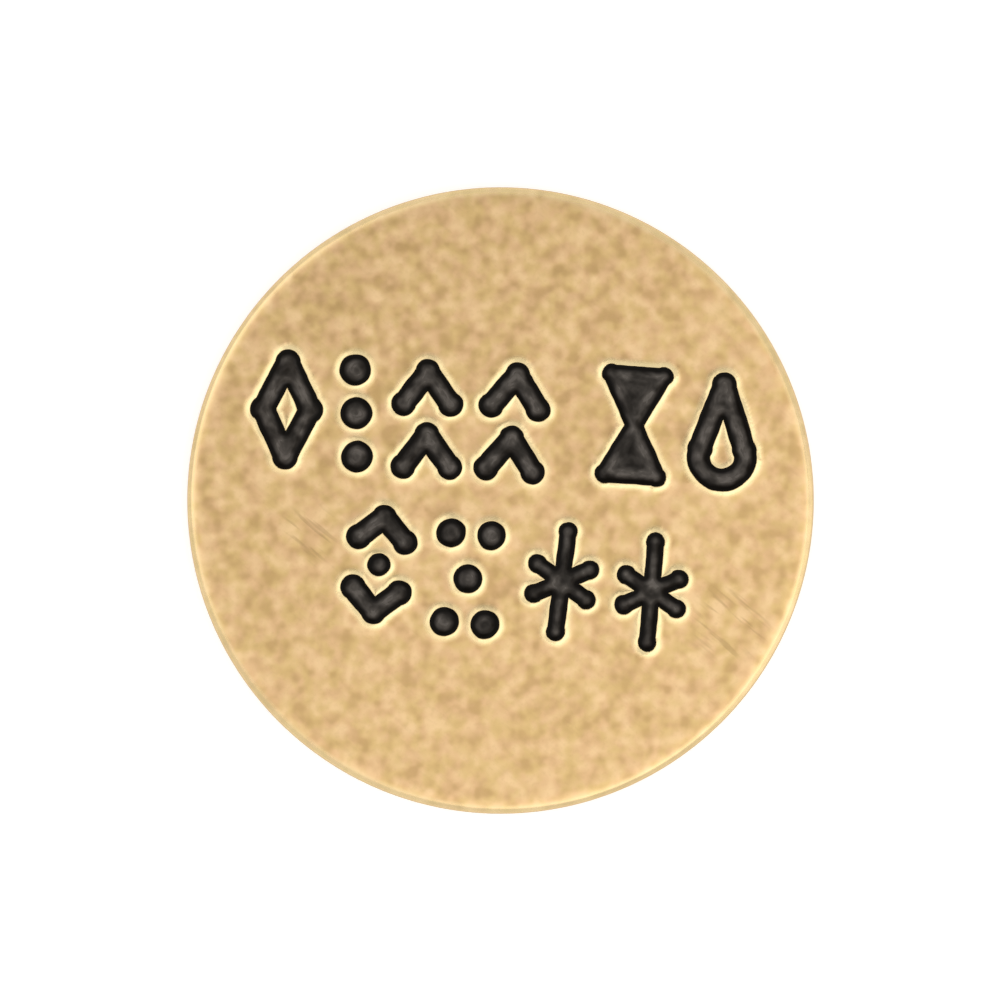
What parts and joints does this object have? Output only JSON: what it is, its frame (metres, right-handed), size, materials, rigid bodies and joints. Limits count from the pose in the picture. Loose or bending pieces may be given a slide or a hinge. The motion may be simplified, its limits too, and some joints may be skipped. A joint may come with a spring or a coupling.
{
  "type": "ball marker",
  "caption": "Round flat ball marker: a solid brass disc with rounded rims and sloping rows of hand-struck ornament marks filled with black enamel.",
  "frame": {"origin": "centre of the disc's back face, on the surface that it rests on", "axes": "+Z out of the struck face, +Y from the lower row of marks towards the upper row, +X to the right when the marks are read upright"},
  "size_m": [0.0254, 0.0254, 0.0016],
  "materials": {
    "brass": "satin, tumbled, with a fine mottled grain, light scratches and bright edges",
    "black_enamel": "glossy black enamel, slightly dished, wiped back to just below the face"
  },
  "bodies": {
    "root": {"disc": "brass", "enamel_lozenge": "black_enamel", "enamel_beads": "black_enamel", "enamel_chevrons_left": "black_enamel", "enamel_chevrons_right": "black_enamel", "enamel_hourglass": "black_enamel", "enamel_drop": "black_enamel", "enamel_split_lozenge": "black_enamel", "enamel_five_dots": "black_enamel", "enamel_star_left": "black_enamel", "enamel_star_right": "black_enamel"}
  },
  "joints": []
}
